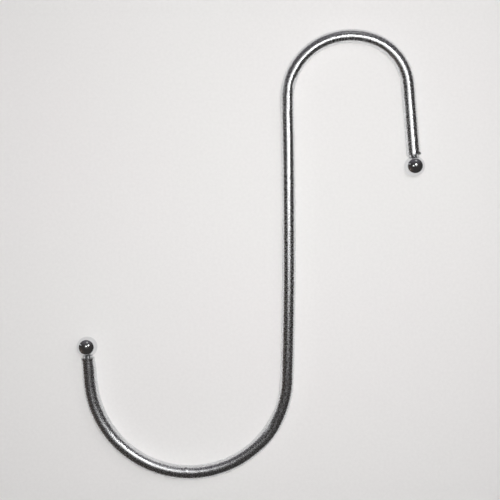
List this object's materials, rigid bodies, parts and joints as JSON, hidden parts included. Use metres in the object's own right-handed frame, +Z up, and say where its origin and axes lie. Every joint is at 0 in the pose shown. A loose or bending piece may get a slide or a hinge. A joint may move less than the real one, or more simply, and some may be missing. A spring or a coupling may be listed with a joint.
{
  "type": "s hook",
  "caption": "S-shaped hanging hook of chrome-plated round steel wire: a small hook for a rail, a long shank, a wide hook for the load, and a welded ball at each end.",
  "frame": {"origin": "under the middle of the hook's box, on the surface that its balls rest on", "axes": "+Z up from that surface, square to the plane of the S; +Y along the shank towards the small upper hook; +X towards the side on which the upper hook opens"},
  "size_m": [0.1266, 0.1636, 0.0075],
  "materials": {
    "plated_wire": "bright chrome plate over drawn steel wire, with a fine orange-peel grain",
    "plated_ball": "bright chrome plate over a polished steel ball, mirror smooth"
  },
  "bodies": {
    "root": {"wire": "plated_wire", "upper_ball": "plated_ball", "lower_ball": "plated_ball"}
  },
  "joints": []
}
